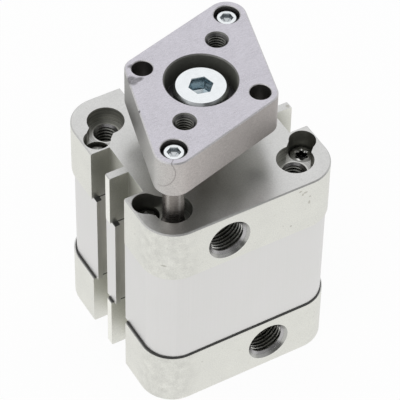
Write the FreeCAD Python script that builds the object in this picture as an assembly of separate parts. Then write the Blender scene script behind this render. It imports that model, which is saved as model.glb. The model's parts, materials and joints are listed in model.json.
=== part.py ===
"""Compact double-acting air cylinder with a yoke plate that two guide rods keep from turning.

Millimetres. The origin is the centre of the rear face, +Z runs along the rod towards the plate, and both
ports face -Y. The rod is shown drawn in.
"""

import FreeCAD, Part
import math
import os

from FreeCAD import Vector

# Working length
stroke = 15.0
rear_cap_height = 15.5
front_cap_height = 15.0
gasket_thickness = 0.4
bumper_thickness = 2.0
bumper_stand = 0.2  # how far a bumper stands out of its cap
bumper_edge = 0.2  # chamfer round a bumper
bumper_wall = 0.5  # of a cap between a bumper and the air passage
stop_gap = 0.05  # between piston and bumper at either end of the stroke

# Section of the body
bore = 32.0
slot_wall = 3.6  # between the bore and the floor of a slot
slot_depth = 5.0  # from a cap's face to the floor of its channel
slot_width = 7.1  # of a channel in the caps, and of a slot behind its lips
slot_mouth = 4.8  # between the lips of a slot
slot_lip = 1.3  # thickness of the lips
slot_rib = 2.0  # between the two channels of one face
barrel_inset = 0.7  # of the barrel's slotted faces behind those of the caps
port_face_inset = 0.35  # of the barrel's plain face, on the side of the ports
mount_pitch_over_bore = 0.5  # how much wider the mounting pattern is than the bore
edge_break = 0.3  # chamfer round the outer faces of the caps and the plate

# Mounting holes in the corners of the caps
mount_thread = 6.0
mount_counterbore = 9.0
mount_counterbore_depth = 4.0
mount_passage = 6.6  # plain hole through the barrel behind each thread

# Screws that hold the caps to the barrel, sunk beside the mounting holes
tie_thread = 4.0
tie_head = 6.0
tie_head_height = 3.2
tie_pocket_room = 0.25  # round the head
tie_pocket_wall = 0.4  # left between a pocket and the faces beside it
tie_neck = 6.0  # width of the way from a pocket into its counterbore
tie_head_sunk = 4.8  # top of the head below the cap's outer face
tie_hole_room = 0.2  # round the shank in the cap
tie_grip = 8.0  # length of thread in the barrel
tie_socket = 3.2  # six-point socket, across its points
tie_socket_core = 2.3  # across its inner corners
tie_socket_depth = 1.8

# Air ports, one in each cap
port_thread = 9.73
port_chamfer = 0.63
port_depth = 8.0
port_offset = 6.0  # sideways from the centre line
port_from_end = 8.0  # from the outer face of the cap
passage = 3.0  # air passage from port to chamber
passage_inset = 1.5  # centre of the passage inside the bore's wall

# Piston rod and its bearing in the front cap
rod = 12.0
rod_flats = 10.0
rod_flats_length = 5.0
rod_chamfer = 0.5
rod_bush_wall = 1.25
rod_bush_shoulder = 1.2  # of the cap below the bush
rod_seal_width = 3.0
rod_seal_height = 5.5
wiper_stand = 0.5  # of the wiper lip above the cap
seal_lip = 0.7  # thickness of a seal's lips

# Piston, stacked on the rod's spigot
piston_rim = 1.2
piston_land = 0.6
seal_height = 2.8
seal_groove_depth = 3.2
ring_height = 3.8
guide_ring_wall = 1.6
magnet_wall = 3.3
spigot = 9.0
o_ring_section = 1.2
piston_screw_thread = 5.0
piston_screw_head = 8.5
piston_screw_head_height = 2.8
piston_screw_sunk = 0.2
piston_screw_web = 1.5  # of the piston under the screw's head
piston_screw_grip = 9.0  # length of thread in the rod
piston_screw_socket = 3.0
piston_screw_socket_depth = 1.6
clamp_gap = 0.1  # between the spigot's end and the piston

# Yoke plate and its screws
plate_gap = 9.0  # between front cap and plate with the rod drawn in
plate_thickness = 10.5
plate_long_radius = 4.75  # of the two corners over the guide rods
plate_short_radius = 4.0
plate_half_angle = 30.0  # of a long corner
plate_hole_circle = 28.0
plate_thread = 5.0
plate_thread_chamfer = 0.32
dowel_hole = 5.0
dowel_chamfer = 0.2
plate_counterbore = 17.0
plate_screw_thread = 8.0
plate_screw_head = 13.0
plate_screw_head_height = 5.0
plate_screw_head_chamfer = 0.5
plate_screw_sunk = 1.7
plate_screw_grip = 14.0  # length of thread in the rod
plate_screw_socket = 5.0
plate_screw_socket_depth = 2.5

# Guide rods, their bushes and screws
guide_rod = 5.0
guide_rod_chamfer = 0.5
guide_rod_end = 4.0  # lower end above the end of the barrel
guide_bush_wall = 1.0
guide_bush_setback = 0.5  # of the bush's lower end inside the cap
guide_bush_cover = 0.5  # of the cap between the bush and the cap screw's pocket
guide_screw_thread = 3.0
guide_screw_head = 5.5
guide_screw_head_height = 3.0
guide_screw_head_chamfer = 0.35
guide_screw_room = 0.35  # round the head
guide_screw_sunk = 1.0
guide_screw_web = 3.0  # of the plate between screw head and guide rod
guide_screw_grip = 8.0  # length of thread in the guide rod
guide_screw_socket = 2.5
guide_screw_socket_depth = 1.5

# Clearances, all radial unless they say otherwise
running_gap = 0.03  # rods in their bushes
lip_gap = 0.05  # seals and guide ring on what they slide along
free_gap = 0.3  # moving pieces past what doesn't guide them
seat_gap = 0.02  # pieces pressed or screwed into one another
screw_hole_gap = 0.2  # screws in plain holes
tap_room = 2.0  # depth of a tapped hole past its screw
cut_margin = 1.0  # how far a cut reaches past the face that it opens

# Heights along the axis
piston_length = 2 * (piston_rim + seal_height + piston_land) + ring_height
chamber_length = piston_length + stroke + 2 * (bumper_stand + stop_gap)
barrel_low = rear_cap_height + gasket_thickness
front_cap_low = rear_cap_height + chamber_length
barrel_high = front_cap_low - gasket_thickness
front_cap_high = front_cap_low + front_cap_height
piston_low = rear_cap_height + bumper_stand + stop_gap
piston_high = piston_low + piston_length
plate_low = front_cap_high + plate_gap
plate_high = plate_low + plate_thickness

# Places across the axis
half_width = bore / 2 + slot_wall + slot_depth
mount_place = (bore + mount_pitch_over_bore) / 2
corner_radius = half_width - mount_place
slot_floor = half_width - slot_depth
slot_centre = (slot_rib + slot_width) / 2
channel_edge = slot_rib / 2 + slot_width
tie_pocket = tie_head + 2 * tie_pocket_room
tie_across = half_width - tie_pocket_wall - tie_pocket / 2
tie_along = channel_edge + tie_pocket_wall + tie_pocket / 2
tie_hole = tie_thread + 2 * tie_hole_room
passage_from_axis = bore / 2 - passage_inset
passage_place = math.sqrt(passage_from_axis**2 - port_offset**2)

NO_INSETS = (0.0, 0.0)
BARREL_INSETS = (barrel_inset, port_face_inset)
REAR_GASKET_INSETS = (barrel_inset / 2, port_face_inset / 2)
CORNERS = [(side, end) for side in (-1, 1) for end in (-1, 1)]
GUIDE_CORNERS = {"near": (-1, -1), "far": (1, 1)}
FULL_TURN = 360.0
QUARTER_TURN = FULL_TURN / 4
SLOTTED_FACES = (0, QUARTER_TURN, 2 * QUARTER_TURN)  # turns that take the +X face to +X, +Y and -X
HEXAGON = 6
OCTAGON = 8
UP = 1
DOWN = -1


def cylinder(diameter, low, high, x=0.0, y=0.0):
    """Upright cylinder between two heights."""
    return Part.makeCylinder(diameter / 2, high - low, Vector(x, y, low))


def prism(face, low, high):
    """Upright solid on a flat outline."""
    lifted = face.copy()
    lifted.translate(Vector(0, 0, low))
    return lifted.extrude(Vector(0, 0, high - low))


def revolved(outline):
    """Solid turned about the Z axis from (radius, height) corners."""
    corners = [Vector(radius, 0, height) for radius, height in outline]
    wire = Part.makePolygon(corners + corners[:1])
    return Part.Face(wire).revolve(Vector(), Vector(0, 0, 1), FULL_TURN)


def rounded_face(corners):
    """Flat face through (point, radius) corners, each rounded by a tangent arc."""
    arcs = []
    for index, (point, radius) in enumerate(corners):
        before = (corners[index - 1][0] - point).normalize()
        after = (corners[(index + 1) % len(corners)][0] - point).normalize()
        half_angle = before.getAngle(after) / 2
        inward = (before + after).normalize()
        reach = radius / math.tan(half_angle)
        crown = point + inward * (radius / math.sin(half_angle) - radius)
        arcs.append((point + before * reach, crown, point + after * reach))
    edges = []
    for index, (start, crown, end) in enumerate(arcs):
        edges.append(Part.LineSegment(arcs[index - 1][2], start).toShape())
        edges.append(Part.Arc(start, crown, end).toShape())
    return Part.Face(Part.Wire(edges))


def body_outline(insets):
    """Rounded square of the caps, drawn in on the slotted faces and on the port face."""
    inset, port_inset = insets
    half = half_width - inset
    port_face = port_inset - half_width
    places = ((half, half), (-half, half), (-half, port_face), (half, port_face))
    return rounded_face([(Vector(x, y, 0), corner_radius - inset) for x, y in places])


def socket_prism(radii, low, high, x, y):
    """Upright six-sided prism whose corners stand at each of the radii in turn."""
    count = HEXAGON * len(radii)
    corners = []
    for index in range(count):
        turn = 2 * math.pi * index / count
        radius = radii[index % len(radii)]
        corners.append(Vector(x + radius * math.cos(turn), y + radius * math.sin(turn), 0))
    return prism(Part.Face(Part.makePolygon(corners + corners[:1])), low, high)


def hexagon(across_flats, low, high, x=0.0, y=0.0):
    """Upright hexagonal prism."""
    radius = across_flats / 2 / math.cos(math.pi / HEXAGON)
    return socket_prism([radius], low, high, x, y)


def sunk(diameter, face, outward, depth, x, y):
    """Round cut that opens a face and goes to a depth behind it."""
    low, high = sorted((face + outward * cut_margin, face - outward * depth))
    return cylinder(diameter, low, high, x, y)


def mouth(diameter, chamfer, face, outward, x, y):
    """Conical cut that breaks the edge of a hole by a chamfer."""
    wide = diameter / 2 + chamfer + cut_margin
    base = Vector(x, y, face + outward * cut_margin)
    return Part.makeCone(wide, diameter / 2, chamfer + cut_margin, base, Vector(0, 0, -outward))


def chamfer_rim(solid, height, size):
    """Break the edges that lie at one height."""
    rim = [e for e in solid.Edges if all(abs(v.Z - height) < size / 2 for v in e.Vertexes)]
    return solid.makeChamfer(size, rim)


def turned_to_faces(cuts):
    """Cuts made in the +X face, repeated on the three slotted faces."""
    return [cut.rotated(Vector(), Vector(0, 0, 1), turn) for turn in SLOTTED_FACES for cut in cuts]


def block(x_range, y_range, low, high):
    """Upright box between limits."""
    size = (x_range[1] - x_range[0], y_range[1] - y_range[0], high - low)
    return Part.makeBox(*size, Vector(x_range[0], y_range[0], low))


def channels(low, high):
    """The open channels, two on each slotted face."""
    across = (slot_floor, half_width + cut_margin)
    pair = []
    for centre in (-slot_centre, slot_centre):
        along = (centre - slot_width / 2, centre + slot_width / 2)
        pair.append(block(across, along, low - cut_margin, high + cut_margin))
    return turned_to_faces(pair)


def sensor_slots(low, high):
    """The lipped slots of the barrel, in line with the channels of the caps."""
    face = half_width - barrel_inset
    cuts = []
    for centre in (-slot_centre, slot_centre):
        inside = (centre - slot_width / 2, centre + slot_width / 2)
        between_lips = (centre - slot_mouth / 2, centre + slot_mouth / 2)
        cuts.append(block((slot_floor, face - slot_lip), inside, low - cut_margin, high + cut_margin))
        cuts.append(block((slot_floor, face + cut_margin), between_lips, low - cut_margin, high + cut_margin))
    return turned_to_faces(cuts)


def mount_at(corner):
    """Centre of a corner's mounting hole."""
    return corner[0] * mount_place, corner[1] * mount_place


def tie_at(corner):
    """Centre of a corner's cap screw."""
    return corner[0] * tie_across, corner[1] * tie_along


def port_cuts(side, outer, outward, inner):
    """A cap's air port in the -Y face, with its passage to the chamber."""
    x = side * port_offset
    z = outer - outward * port_from_end
    inward = Vector(0, 1, 0)
    outside = Vector(x, -half_width - cut_margin, z)
    wide = port_thread / 2 + port_chamfer + cut_margin
    floor = -half_width + port_depth
    low, high = sorted((z, inner - outward * cut_margin))
    return [
        Part.makeCylinder(port_thread / 2, port_depth + cut_margin, outside, inward),
        Part.makeCone(wide, port_thread / 2, port_chamfer + cut_margin, outside, inward),
        Part.makeCylinder(passage / 2, -passage_place - floor, Vector(x, floor, z), inward),
        cylinder(passage, low, high, x, -passage_place),
    ]


def neck(corner, outer, outward):
    """Straight-sided cut that opens a cap screw's pocket into its corner's counterbore."""
    start = Vector(*tie_at(corner), 0)
    end = Vector(*mount_at(corner), 0)
    side = (end - start).cross(Vector(0, 0, 1)).normalize() * (tie_neck / 2)
    corners = [start - side, end - side, end + side, start + side]
    face = Part.Face(Part.makePolygon(corners + corners[:1]))
    return prism(face, *sorted((outer + outward * cut_margin, outer - outward * mount_counterbore_depth)))


def corner_cuts(corner, outer, outward, depth):
    """A cap corner's counterbore and the neck, pocket and hole of its cap screw."""
    mount = mount_at(corner)
    tie = tie_at(corner)
    return [
        sunk(mount_counterbore, outer, outward, mount_counterbore_depth, *mount),
        neck(corner, outer, outward),
        sunk(tie_pocket, outer, outward, tie_head_sunk + tie_head_height, *tie),
        sunk(tie_hole, outer, outward, depth + cut_margin, *tie),
    ]


def bumper_outer():
    """Outer diameter of a bumper, clear of the air passage."""
    return 2 * (passage_from_axis - passage / 2 - bumper_wall)


def bumper_recess(face, outward):
    """Seat of a bumper in the inner face of a cap."""
    return sunk(bumper_outer() + 2 * seat_gap, face, outward, bumper_thickness - bumper_stand, 0, 0)


def cap_blank(low, high, outer):
    """Cap with its outline, broken outer edge and channels."""
    blank = prism(body_outline(NO_INSETS), low, high)
    return chamfer_rim(blank, outer, edge_break).cut(channels(low, high))


def rear_cap():
    cuts = port_cuts(1, 0.0, DOWN, rear_cap_height)
    cuts.append(bumper_recess(rear_cap_height, UP))
    for corner in CORNERS:
        cuts += corner_cuts(corner, 0.0, DOWN, rear_cap_height)
        cuts.append(sunk(mount_thread, 0.0, DOWN, rear_cap_height + cut_margin, *mount_at(corner)))
    return cap_blank(0.0, rear_cap_height, 0.0).cut(cuts)


def front_cap():
    cuts = port_cuts(-1, front_cap_high, UP, front_cap_low)
    cuts.append(bumper_recess(front_cap_low, DOWN))
    cuts.append(sunk(rod + 2 * rod_seal_width, front_cap_high, UP, rod_seal_height, 0, 0))
    cuts.append(sunk(rod_bush_outer(), front_cap_high, UP, front_cap_high - rod_bush_low(), 0, 0))
    cuts.append(sunk(rod + 2 * free_gap, front_cap_high, UP, front_cap_height + cut_margin, 0, 0))
    for corner in CORNERS:
        cuts += corner_cuts(corner, front_cap_high, UP, front_cap_height)
        guided = corner in GUIDE_CORNERS.values()
        through = guide_rod + 2 * free_gap if guided else mount_thread
        cuts.append(sunk(through, front_cap_high, UP, front_cap_height + cut_margin, *mount_at(corner)))
        if guided:
            seat_depth = guide_bush_high() - front_cap_low
            cuts.append(sunk(guide_bush_outer(), front_cap_low, DOWN, seat_depth, *mount_at(corner)))
    return cap_blank(front_cap_low, front_cap_high, front_cap_high).cut(cuts)


def barrel():
    cuts = sensor_slots(barrel_low, barrel_high)
    cuts.append(cylinder(bore, barrel_low - cut_margin, barrel_high + cut_margin))
    for corner in CORNERS:
        ends = (barrel_low - cut_margin, barrel_high + cut_margin)
        cuts.append(cylinder(mount_passage, *ends, *mount_at(corner)))
        cuts.append(cylinder(tie_thread + 2 * seat_gap, *ends, *tie_at(corner)))
    return prism(body_outline(BARREL_INSETS), barrel_low, barrel_high).cut(cuts)


def gasket(low, insets, slots):
    """Flat seal of the cap's outline, drawn in by insets and slotted like the cap or the barrel."""
    high = low + gasket_thickness
    cuts = slots(low, high)
    cuts.append(cylinder(bore + 2 * free_gap, low - cut_margin, high + cut_margin))
    for corner in CORNERS:
        cuts.append(cylinder(mount_passage, low - cut_margin, high + cut_margin, *mount_at(corner)))
        cuts.append(cylinder(tie_hole, low - cut_margin, high + cut_margin, *tie_at(corner)))
    return prism(body_outline(insets), low, high).cut(cuts)


def cap_screw(corner, outer, outward, barrel_end):
    """Thread-forming screw with a six-point socket, seated in a cap's pocket."""
    x, y = tie_at(corner)
    top = outer - outward * tie_head_sunk
    seat = top - outward * tie_head_height
    end = barrel_end - outward * tie_grip
    head = cylinder(tie_head, *sorted((top, seat)), x, y)
    screw = head.fuse(cylinder(tie_thread, *sorted((seat, end)), x, y))
    floor, opening = sorted((top - outward * tie_socket_depth, top + outward * cut_margin))
    return screw.cut(socket_prism([tie_socket / 2, tie_socket_core / 2], floor, opening, x, y))


def socket_screw(head, head_height, head_chamfer, thread, socket, socket_depth, top, end, place=(0.0, 0.0)):
    """Upright hexagon socket screw from the top of its head down to the end of its thread."""
    seat = top - head_height
    body = revolved(
        [
            (0, end),
            (thread / 2, end),
            (thread / 2, seat),
            (head / 2, seat),
            (head / 2, top - head_chamfer),
            (head / 2 - head_chamfer, top),
            (0, top),
        ]
    )
    body.translate(Vector(*place, 0))
    return body.cut(hexagon(socket, top - socket_depth, top + cut_margin, *place))


def bumper(low):
    """Elastic ring that the piston lands on, with broken edges."""
    high = low + bumper_thickness
    outer = bumper_outer() / 2
    inner = rod / 2 + 2 * free_gap
    return revolved(
        [
            (inner, low),
            (outer - bumper_edge, low),
            (outer, low + bumper_edge),
            (outer, high - bumper_edge),
            (outer - bumper_edge, high),
            (inner, high),
        ]
    )


def rod_bush_outer():
    """Diameter of the rod bush's seat."""
    return rod + 2 * (rod_bush_wall + running_gap + seat_gap)


def rod_bush_low():
    """Height of the shoulder under the rod bush."""
    return front_cap_low + bumper_thickness - bumper_stand + rod_bush_shoulder


def sleeve(inner, wall, low, high):
    """Plain bearing bush."""
    return cylinder(inner + 2 * wall, low, high).cut(cylinder(inner, low - cut_margin, high + cut_margin))


def rod_bush():
    return sleeve(rod + 2 * running_gap, rod_bush_wall, rod_bush_low(), front_cap_high - rod_seal_height)


def rod_seal():
    """Rod seal in one piece with a wiper lip that stands out of the cap."""
    low = front_cap_high - rod_seal_height
    outer = rod / 2 + rod_seal_width - seat_gap
    lip = rod / 2 + lip_gap
    return revolved(
        [
            (outer, low),
            (outer, front_cap_high),
            (lip + seal_lip, front_cap_high),
            (lip, front_cap_high + wiper_stand),
            (lip, front_cap_high - seal_lip),
            (lip + seal_lip, front_cap_high - 2 * seal_lip),
            (lip + seal_lip, low + 2 * seal_lip),
            (lip, low + seal_lip),
            (lip + seal_lip, low),
        ]
    )


def guide_bush_outer():
    """Diameter of a guide bush's seat."""
    return guide_rod + 2 * (guide_bush_wall + running_gap + seat_gap)


def guide_bush_high():
    """Height of the shoulder over a guide bush, below the floor of the cap screw's pocket."""
    return front_cap_high - tie_head_sunk - tie_head_height - guide_bush_cover


def guide_bush(corner):
    low = front_cap_low + guide_bush_setback
    bush = sleeve(guide_rod + 2 * running_gap, guide_bush_wall, low, guide_bush_high())
    return bush.translated(Vector(*mount_at(corner), 0))


def guide_seat():
    """Depth to which a guide rod enters the plate."""
    return plate_thickness - guide_screw_sunk - guide_screw_head_height - guide_screw_web


def guide_rod_at(corner):
    low = barrel_low + guide_rod_end
    high = plate_low + guide_seat()
    radius = guide_rod / 2
    body = revolved(
        [
            (0, low),
            (radius - guide_rod_chamfer, low),
            (radius, low + guide_rod_chamfer),
            (radius, high),
            (0, high),
        ]
    )
    tapped = sunk(guide_screw_thread + 2 * seat_gap, high, UP, guide_screw_grip + tap_room, 0, 0)
    return body.cut(tapped).translated(Vector(*mount_at(corner), 0))


def guide_rod_screw(corner):
    top = plate_high - guide_screw_sunk
    end = plate_low + guide_seat() - guide_screw_grip
    return socket_screw(
        guide_screw_head,
        guide_screw_head_height,
        guide_screw_head_chamfer,
        guide_screw_thread,
        guide_screw_socket,
        guide_screw_socket_depth,
        top,
        end,
        mount_at(corner),
    )


def plate_outline():
    """Rhombus whose long corners are centred on the guide rods."""
    half_angle = math.radians(plate_half_angle)
    guide_distance = mount_place * math.sqrt(2)
    long_tip = guide_distance + plate_long_radius / math.sin(half_angle)
    short_tip = long_tip * math.tan(half_angle)
    long_way = Vector(1, 1, 0).normalize()
    short_way = Vector(-1, 1, 0).normalize()
    return rounded_face(
        [
            (long_way * long_tip, plate_long_radius),
            (short_way * short_tip, plate_short_radius),
            (long_way * -long_tip, plate_long_radius),
            (short_way * -short_tip, plate_short_radius),
        ]
    )


def yoke_plate():
    plate = prism(plate_outline(), plate_low, plate_high)
    plate = chamfer_rim(plate, plate_high, edge_break)
    plate = chamfer_rim(plate, plate_low, edge_break)
    through = plate_thickness + cut_margin
    screw_depth = plate_screw_sunk + plate_screw_head_height
    cuts = [
        sunk(plate_counterbore, plate_high, UP, screw_depth, 0, 0),
        mouth(plate_counterbore, edge_break, plate_high, UP, 0, 0),
        sunk(plate_screw_thread + 2 * screw_hole_gap, plate_high, UP, through, 0, 0),
    ]
    reach = plate_hole_circle / 2 / math.sqrt(2)
    for way in (-1, 1):
        thread_place = (way * reach, way * reach)
        dowel_place = (way * reach, -way * reach)
        cuts.append(sunk(plate_thread, plate_high, UP, through, *thread_place))
        cuts.append(mouth(plate_thread, plate_thread_chamfer, plate_high, UP, *thread_place))
        cuts.append(sunk(dowel_hole, plate_high, UP, through, *dowel_place))
        cuts.append(mouth(dowel_hole, dowel_chamfer, plate_high, UP, *dowel_place))
    head_room = guide_screw_head + 2 * guide_screw_room
    head_depth = guide_screw_sunk + guide_screw_head_height
    for corner in GUIDE_CORNERS.values():
        place = mount_at(corner)
        cuts.append(sunk(head_room, plate_high, UP, head_depth, *place))
        cuts.append(mouth(head_room, dowel_chamfer, plate_high, UP, *place))
        cuts.append(sunk(guide_screw_thread + 2 * screw_hole_gap, plate_high, UP, through, *place))
        cuts.append(sunk(guide_rod + 2 * seat_gap, plate_low, DOWN, guide_seat(), *place))
    return plate.cut(cuts)


def plate_screw():
    top = plate_high - plate_screw_sunk
    return socket_screw(
        plate_screw_head,
        plate_screw_head_height,
        plate_screw_head_chamfer,
        plate_screw_thread,
        plate_screw_socket,
        plate_screw_socket_depth,
        top,
        plate_low - plate_screw_grip,
    )


def spigot_low():
    """Lower end of the spigot that carries the piston."""
    return piston_low + piston_screw_sunk + piston_screw_head_height + piston_screw_web + clamp_gap


def piston_rod():
    body = revolved(
        [
            (0, spigot_low()),
            (spigot / 2, spigot_low()),
            (spigot / 2, piston_high),
            (rod / 2, piston_high),
            (rod / 2, plate_low - rod_chamfer),
            (rod / 2 - rod_chamfer, plate_low),
            (0, plate_low),
        ]
    )
    flats_low = plate_low - rod_flats_length
    plate_tap = plate_screw_thread + 2 * seat_gap
    piston_tap = piston_screw_thread + 2 * seat_gap
    cuts = [
        sunk(plate_tap, plate_low, UP, plate_screw_grip + tap_room, 0, 0),
        sunk(piston_tap, spigot_low(), DOWN, piston_screw_grip + tap_room, 0, 0),
    ]
    for side in (-1, 1):
        across = sorted((side * rod_flats / 2, side * rod))
        cuts.append(block(across, (-rod, rod), flats_low, plate_low + cut_margin))
    return body.cut(cuts)


def piston_radius():
    """Outer radius of the piston's metal."""
    return bore / 2 - free_gap


def seal_floor():
    """Radius of the floor of a seal groove."""
    return piston_radius() - seal_groove_depth


def magnet_outer():
    """Radius between the magnet ring and the guide ring round it."""
    return bore / 2 - lip_gap - guide_ring_wall


def hub_radius():
    """Radius of the hub inside the magnet ring."""
    return magnet_outer() - magnet_wall - seat_gap


def split_height():
    """Height of the joint between the piston's halves."""
    return piston_low + piston_rim + seal_height + piston_land + ring_height


def piston_rear_half():
    head_floor = piston_low + piston_screw_sunk + piston_screw_head_height
    groove_low = piston_low + piston_rim
    groove_high = groove_low + seal_height
    head_radius = piston_screw_head / 2 + free_gap
    hole_radius = piston_screw_thread / 2 + screw_hole_gap
    spigot_radius = spigot / 2 + seat_gap
    spigot_floor = head_floor + piston_screw_web
    return revolved(
        [
            (head_radius, piston_low),
            (piston_radius(), piston_low),
            (piston_radius(), groove_low),
            (seal_floor(), groove_low),
            (seal_floor(), groove_high),
            (piston_radius(), groove_high),
            (piston_radius(), groove_high + piston_land),
            (hub_radius(), groove_high + piston_land),
            (hub_radius(), split_height()),
            (spigot_radius, split_height()),
            (spigot_radius, spigot_floor),
            (hole_radius, spigot_floor),
            (hole_radius, head_floor),
            (head_radius, head_floor),
        ]
    )


def piston_front_half():
    low = split_height()
    groove_low = low + piston_land
    groove_high = groove_low + seal_height
    spigot_radius = spigot / 2 + seat_gap
    o_ring_low = piston_high - o_ring_section
    o_ring_outer = spigot_radius + o_ring_section
    return revolved(
        [
            (spigot_radius, low),
            (piston_radius(), low),
            (piston_radius(), groove_low),
            (seal_floor(), groove_low),
            (seal_floor(), groove_high),
            (piston_radius(), groove_high),
            (piston_radius(), piston_high),
            (o_ring_outer, piston_high),
            (o_ring_outer, o_ring_low),
            (spigot_radius, o_ring_low),
        ]
    )


def piston_o_ring():
    """Static seal between rod and piston, pressed eight-sided in the step under the rod's shoulder."""
    half = o_ring_section / 2 - seat_gap
    edge = half * math.tan(math.pi / OCTAGON)
    centre = spigot / 2 + seat_gap + o_ring_section / 2
    middle = piston_high - o_ring_section / 2
    return revolved(
        [
            (centre - half, middle - edge),
            (centre - edge, middle - half),
            (centre + edge, middle - half),
            (centre + half, middle - edge),
            (centre + half, middle + edge),
            (centre + edge, middle + half),
            (centre - edge, middle + half),
            (centre - half, middle + edge),
        ]
    )


def piston_seal(low, facing):
    """Lip seal in its groove, with its open side facing one end of the cylinder."""
    heel, tip = (low, low + seal_height) if facing == UP else (low + seal_height, low)
    depth = (tip - heel) / 2
    inner = seal_floor() + seat_gap
    outer = bore / 2 - lip_gap
    return revolved(
        [
            (inner, heel),
            (outer - seal_lip / 2, heel),
            (outer, tip),
            (outer - seal_lip, tip),
            ((inner + outer) / 2, tip - depth),
            (inner + seal_lip, tip),
            (inner, tip),
        ]
    )


def piston_ring(inner, outer):
    """Ring between the lands of the piston's middle groove."""
    low = split_height() - ring_height
    return revolved([(inner, low), (outer, low), (outer, split_height()), (inner, split_height())])


def piston_screw():
    """Low-head screw that clamps the piston to the rod, head down."""
    top = piston_low + piston_screw_sunk
    seat = top + piston_screw_head_height
    head = cylinder(piston_screw_head, top, seat)
    screw = head.fuse(cylinder(piston_screw_thread, seat, spigot_low() + piston_screw_grip))
    return screw.cut(hexagon(piston_screw_socket, top - cut_margin, top + piston_screw_socket_depth))


def export(name, *solids):
    """Write one node, a single solid or a group of like solids."""
    shape = solids[0] if len(solids) == 1 else Part.makeCompound(list(solids))
    shape.exportStep(os.path.join("parts", name + ".step"))


def main():
    os.makedirs("parts", exist_ok=True)
    export("rear_cap", rear_cap())
    export("barrel", barrel())
    export("front_cap", front_cap())
    export("rear_gasket", gasket(rear_cap_height, REAR_GASKET_INSETS, channels))
    export("front_gasket", gasket(barrel_high, BARREL_INSETS, sensor_slots))
    export("rear_cap_screws", *[cap_screw(corner, 0.0, DOWN, barrel_low) for corner in CORNERS])
    export("front_cap_screws", *[cap_screw(corner, front_cap_high, UP, barrel_high) for corner in CORNERS])
    export("rear_bumper", bumper(rear_cap_height + bumper_stand - bumper_thickness))
    export("front_bumper", bumper(front_cap_low - bumper_stand))
    export("rod_bush", rod_bush())
    export("rod_seal", rod_seal())
    for name, corner in GUIDE_CORNERS.items():
        export("guide_bush_" + name, guide_bush(corner))
        export("guide_rod_" + name, guide_rod_at(corner))
    export("guide_rod_screws", *[guide_rod_screw(corner) for corner in GUIDE_CORNERS.values()])
    export("yoke_plate", yoke_plate())
    export("plate_screw", plate_screw())
    export("piston_rod", piston_rod())
    export("piston_rear_half", piston_rear_half())
    export("piston_front_half", piston_front_half())
    export("piston_o_ring", piston_o_ring())
    export("piston_seal_rear", piston_seal(piston_low + piston_rim, DOWN))
    export("piston_seal_front", piston_seal(split_height() + piston_land, UP))
    export("magnet_ring", piston_ring(hub_radius() + seat_gap, magnet_outer()))
    export("guide_ring", piston_ring(magnet_outer() + seat_gap, bore / 2 - lip_gap))
    export("piston_screw", piston_screw())


main()
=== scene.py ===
"""Dresses the compact air cylinder: finishes, threads, screws, and the photograph's camera and light.

Metres, in the frame of the solids: the rear face stands on z = 0 and both ports face -Y.
Lengths of the pieces and of the textures are written in millimetres.
"""

import json
import math

import bmesh
import bpy
from mathutils import Matrix, Vector


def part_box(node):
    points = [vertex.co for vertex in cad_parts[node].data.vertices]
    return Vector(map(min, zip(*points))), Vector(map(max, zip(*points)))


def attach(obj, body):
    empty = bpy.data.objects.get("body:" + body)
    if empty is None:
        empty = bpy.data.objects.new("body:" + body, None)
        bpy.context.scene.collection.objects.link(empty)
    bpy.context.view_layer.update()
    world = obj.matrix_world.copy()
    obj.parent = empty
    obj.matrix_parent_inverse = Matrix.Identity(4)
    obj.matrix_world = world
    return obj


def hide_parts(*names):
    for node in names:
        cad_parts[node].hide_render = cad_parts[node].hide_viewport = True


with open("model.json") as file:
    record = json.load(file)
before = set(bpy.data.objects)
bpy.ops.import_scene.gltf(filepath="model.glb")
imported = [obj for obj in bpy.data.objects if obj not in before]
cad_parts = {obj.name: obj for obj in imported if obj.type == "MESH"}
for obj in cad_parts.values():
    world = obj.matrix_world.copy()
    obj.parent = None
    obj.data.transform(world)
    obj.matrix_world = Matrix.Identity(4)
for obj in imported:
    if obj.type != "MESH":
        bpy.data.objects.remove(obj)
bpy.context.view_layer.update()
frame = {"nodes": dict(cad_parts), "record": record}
nodes = frame["nodes"]
mounts = {mount["name"]: mount for mount in frame["record"]["mounts"]}

MM = 0.001
FULL_TURN = 2 * math.pi
SHARP = math.radians(32)  # an edge that turns by more stays sharp
DIAGONAL = 0.707  # share of each axis in a direction halfway between two

# Camera of the photograph
CAMERA_TARGET = Vector((4.408, 6.744, 30.0)) * MM
CAMERA_AZIMUTH = math.radians(-30.677)
CAMERA_ELEVATION = math.radians(46.658)
CAMERA_ROLL = math.radians(1.221)
CAMERA_DISTANCE = 618.37 * MM
CAMERA_LENS = 227.66
SENSOR_WIDTH = 36.0
NEAREST_SEEN = 0.01

# Light of the studio, which mirrors see dimmer to the front, and darkest about the camera
SOFT_LIGHT = 0.75
FRONT_SIDE = (0, -1, 0)
FRONT_FROM = 0.1
FRONT_TO = 0.6
FRONT_DIM = 0.52
CAMERA_SIDE = (-0.50, -0.72, 0.48)
CAMERA_FROM = math.cos(math.radians(50))
CAMERA_TO = math.cos(math.radians(22))
CAMERA_DIM = 0.75
LAMP_PLACE = (-0.7, -0.5, 1.0)
LAMP_SIZE = 1.2
LAMP_POWER = 3.0

# Floor
FLOOR_HALF = 3.0
FLOOR_GAP = 0.05  # between the floor and the part's rear face
FLOOR_SEEN = 0.94  # share of plain white in the floor that the camera sees; the rest takes the shadow
FLOOR_WHITE = (0.95, 0.95, 0.95, 1)
FLOOR_ROUGHNESS = 0.9

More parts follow.
